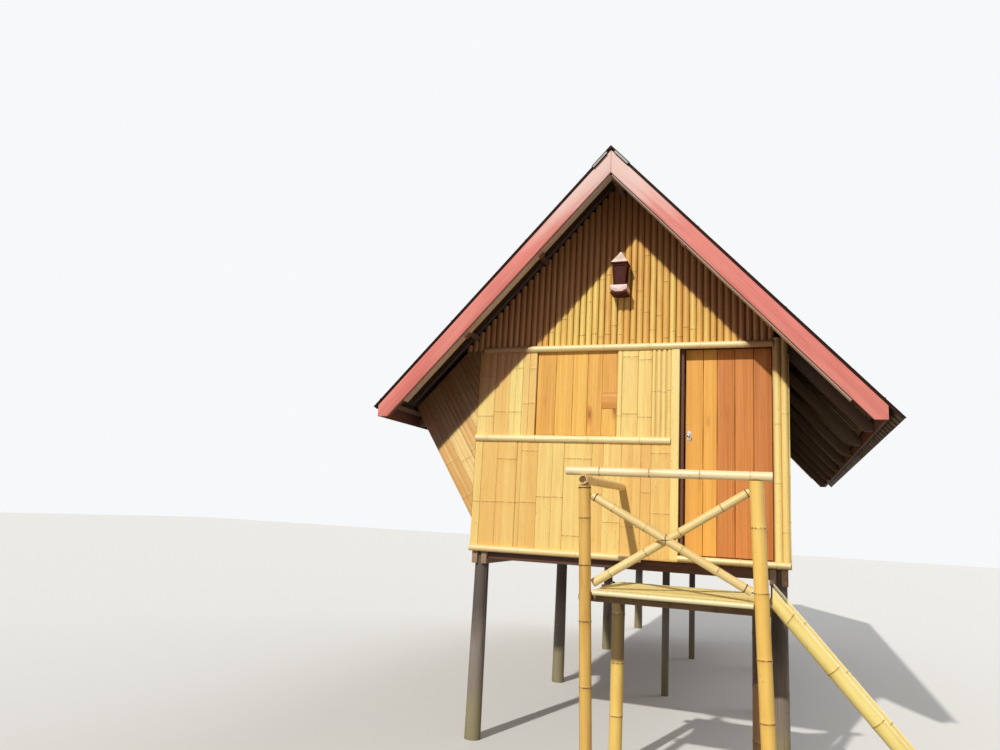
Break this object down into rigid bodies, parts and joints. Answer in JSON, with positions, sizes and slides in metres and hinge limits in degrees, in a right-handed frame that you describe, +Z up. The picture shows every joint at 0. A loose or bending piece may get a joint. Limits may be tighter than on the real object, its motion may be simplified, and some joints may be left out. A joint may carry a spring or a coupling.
{
  "type": "stilt house",
  "caption": "Small bamboo room on timber posts under a steep gabled metal roof, with one side wall flared to the eave, a front door, and a railed bamboo porch with a sloping ladder stair.",
  "frame": {"origin": "foot of the front centre post, under the middle of the floor's width, on the ground", "axes": "+Z up, +Y from the front gable to the back gable, +X to the right as seen from the front"},
  "size_m": [5.0612, 10.6368, 5.4466],
  "materials": {
    "weathered_posts": "weathered grey-brown timber",
    "sawn_beams": "sawn timber",
    "brown_beams": "dark sawn timber",
    "floor_bamboo": "split bamboo",
    "wall_bamboo": "flattened bamboo strips",
    "gable_culms": "half bamboo culms",
    "flare_boards": "flattened bamboo strips",
    "rail_bamboo": "pale bamboo",
    "strip_bamboo": "pale bamboo",
    "shutter_boards": "knotty sawn boards",
    "door_boards": "orange and red-brown boards",
    "handle_metal": "satin",
    "hinge_steel": "satin",
    "roof_timber": "weathered sawn timber",
    "roof_metal": "dark coated ribbed sheet",
    "ridge_metal": "dark coated sheet",
    "painted_boards": "faded red paint",
    "lamp_metal": "dark red-brown paint",
    "lamp_glass": "dark red pane with pale tray and roof",
    "porch_bamboo": "smooth yellow bamboo",
    "green_bamboo": "pale green-yellow bamboo",
    "deck_bamboo": "split bamboo"
  },
  "bodies": {
    "house": {"front_posts": "weathered_posts", "middle_posts": "weathered_posts", "back_posts": "weathered_posts", "side_beams": "sawn_beams", "cross_beams": "brown_beams", "floor_joists": "sawn_beams", "floor": "floor_bamboo", "front_wall": "wall_bamboo", "door_side_wall": "wall_bamboo", "door_sill": "wall_bamboo", "front_gable": "gable_culms", "front_wing": "flare_boards", "back_wall": "wall_bamboo", "right_wall": "wall_bamboo", "left_wall_base": "wall_bamboo", "left_flared_wall": "flare_boards", "wall_plates": "sawn_beams", "front_rails": "rail_bamboo", "back_rails": "rail_bamboo", "front_strips": "strip_bamboo", "window_frame": "sawn_beams", "window_shutter": "shutter_boards", "door_frame": "brown_beams", "hinge_frame_halves": "hinge_steel", "ridge_beam": "roof_timber", "rafters": "roof_timber", "purlins": "roof_timber", "left_roof_sheet": "roof_metal", "right_roof_sheet": "roof_metal", "ridge_cap": "ridge_metal", "bargeboards": "painted_boards", "eave_boards": "painted_boards", "lamp_bracket": "lamp_metal", "lamp_lantern": "lamp_glass", "porch_posts": "porch_bamboo", "porch_cross_bearers": "porch_bamboo", "porch_deck_bearers": "porch_bamboo", "porch_deck": "deck_bamboo", "porch_rails": "porch_bamboo", "porch_braces": "green_bamboo", "stair_stringers": "porch_bamboo", "stair_rungs": "porch_bamboo"},
    "door": {"door_leaf": "door_boards", "door_handle": "handle_metal", "hinge_door_halves": "hinge_steel"}
  },
  "joints": [
    {"name": "door_hinge", "type": "hinge", "parent": "house", "child": "door", "pos_m": [1.319, -2.864, 1.8], "axis": [0, 0, -1], "range_deg": [0, 90]}
  ]
}
